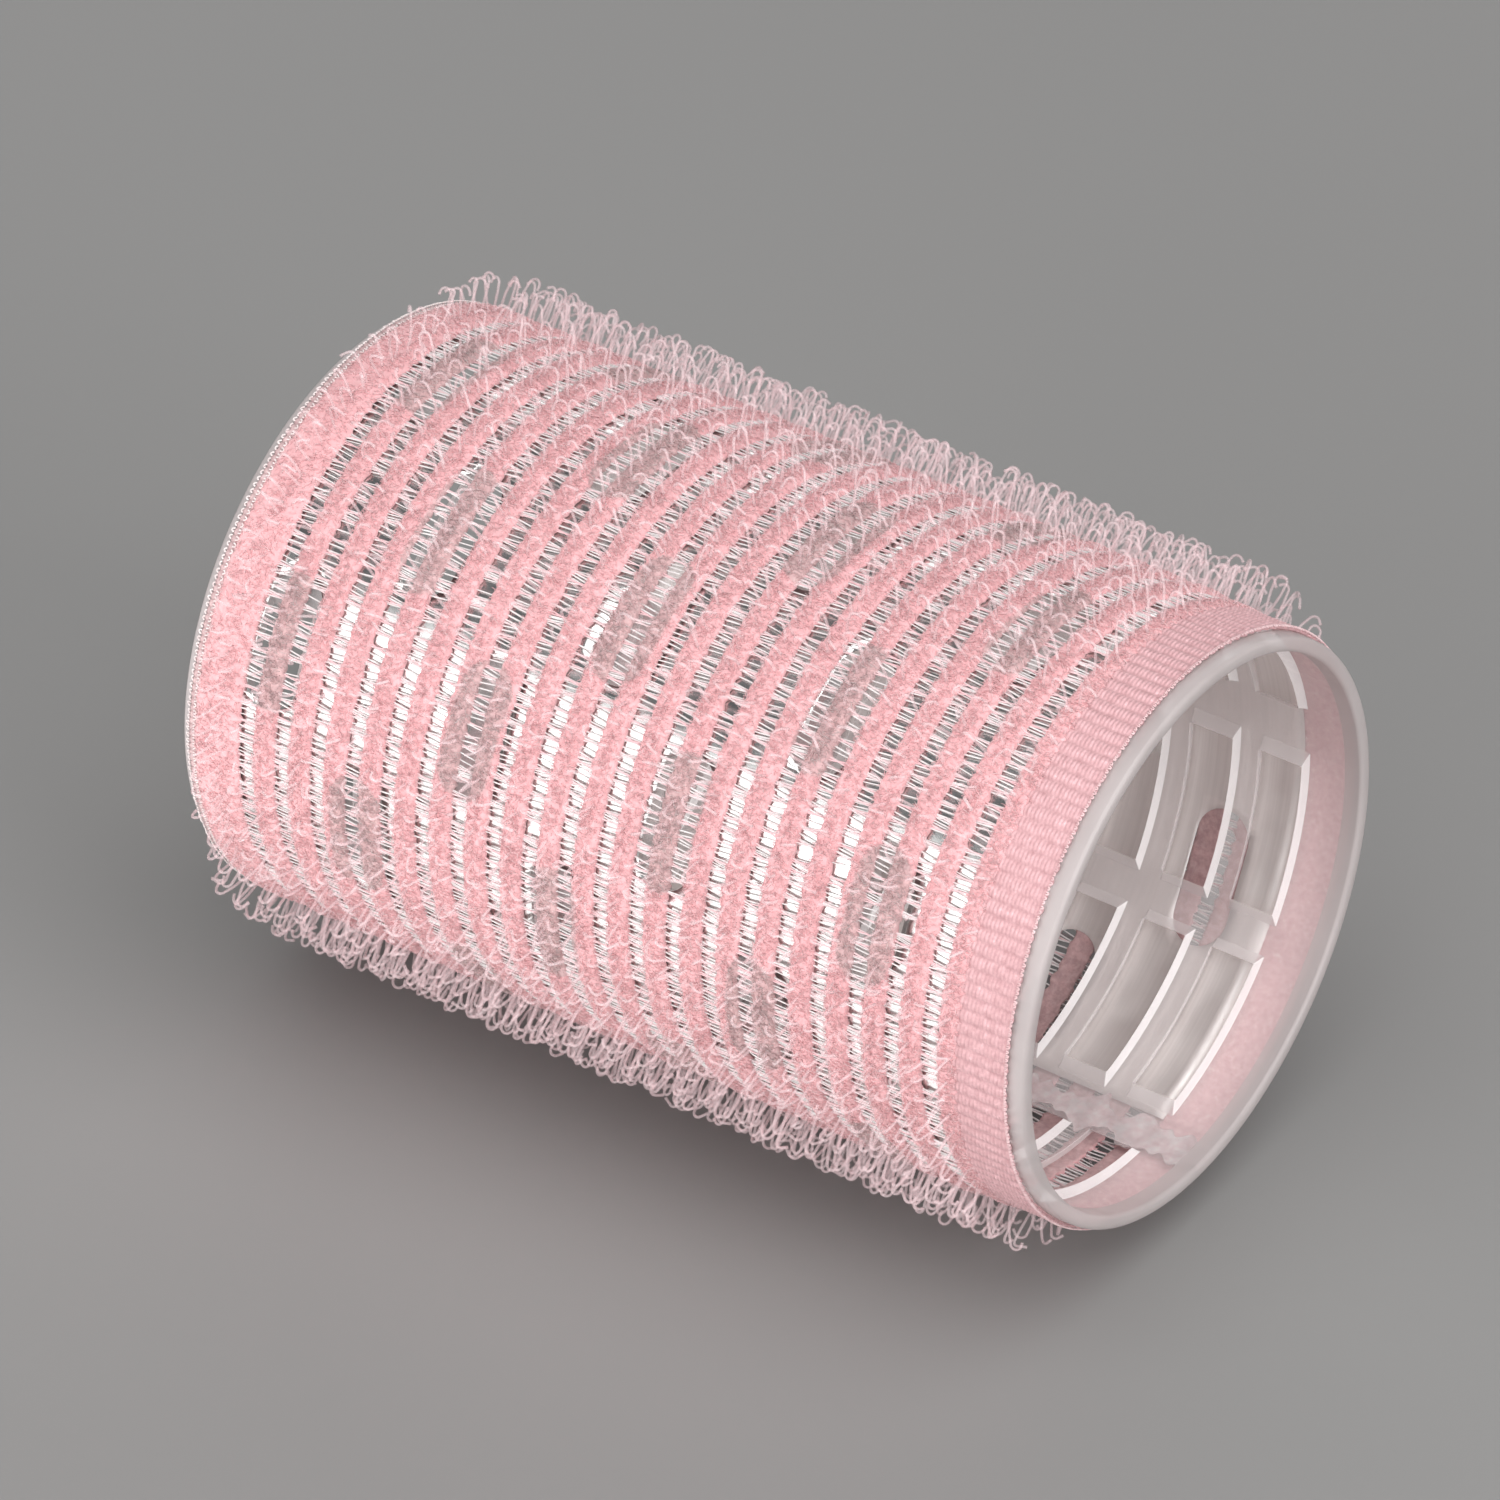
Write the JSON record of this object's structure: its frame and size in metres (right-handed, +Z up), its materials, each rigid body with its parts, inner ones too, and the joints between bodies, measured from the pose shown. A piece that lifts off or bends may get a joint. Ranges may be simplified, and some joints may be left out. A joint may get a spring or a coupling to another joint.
{
  "type": "self-grip hair roller",
  "caption": "Pink self-grip hair roller: translucent lattice barrel, perforated metal sleeve and hook tape with fine clear hooks.",
  "frame": {"origin": "middle of the roller's axis, which is the centre of its box", "axes": "+X runs along the roller's axis to the end with the wide woven selvedge; +Z is up with the roller lying on its side"},
  "size_m": [0.063, 0.0442, 0.0442],
  "materials": {
    "clear_polypropylene": "translucent natural polypropylene, smooth moulded",
    "melted_polypropylene": "uneven, remelted",
    "bright_foil": "bright rolled sheet with slight ripples",
    "pink_weave": "tight ribbed weave",
    "edge_weave": "narrow woven edge with pale yarn bights",
    "pink_pile": "short fuzzy pile",
    "hook_filament": "clear monofilament with a pink cast"
  },
  "bodies": {
    "root": {"core_barrel": "clear_polypropylene", "liner_sleeve": "bright_foil", "weld_seam": "melted_polypropylene", "selvedge_front": "pink_weave", "selvedge_rear": "edge_weave", "pile_band_rear": "pink_pile", "pile_stripe_01": "pink_pile", "pile_stripe_02": "pink_pile", "pile_stripe_03": "pink_pile", "pile_stripe_04": "pink_pile", "pile_stripe_05": "pink_pile", "pile_stripe_06": "pink_pile", "pile_stripe_07": "pink_pile", "pile_stripe_08": "pink_pile", "pile_stripe_09": "pink_pile", "pile_stripe_10": "pink_pile", "pile_stripe_11": "pink_pile", "pile_stripe_12": "pink_pile", "pile_stripe_13": "pink_pile", "pile_stripe_14": "pink_pile", "pile_stripe_15": "pink_pile", "pile_stripe_16": "pink_pile", "pile_stripe_17": "pink_pile", "pile_stripe_18": "pink_pile", "pile_stripe_19": "pink_pile", "hook_row_01": "hook_filament", "hook_row_02": "hook_filament", "hook_row_03": "hook_filament", "hook_row_04": "hook_filament", "hook_row_05": "hook_filament", "hook_row_06": "hook_filament", "hook_row_07": "hook_filament", "hook_row_08": "hook_filament", "hook_row_09": "hook_filament", "hook_row_10": "hook_filament", "hook_row_11": "hook_filament", "hook_row_12": "hook_filament", "hook_row_13": "hook_filament", "hook_row_14": "hook_filament", "hook_row_15": "hook_filament", "hook_row_16": "hook_filament", "hook_row_17": "hook_filament", "hook_row_18": "hook_filament", "hook_row_19": "hook_filament", "hook_row_20": "hook_filament"}
  },
  "joints": []
}
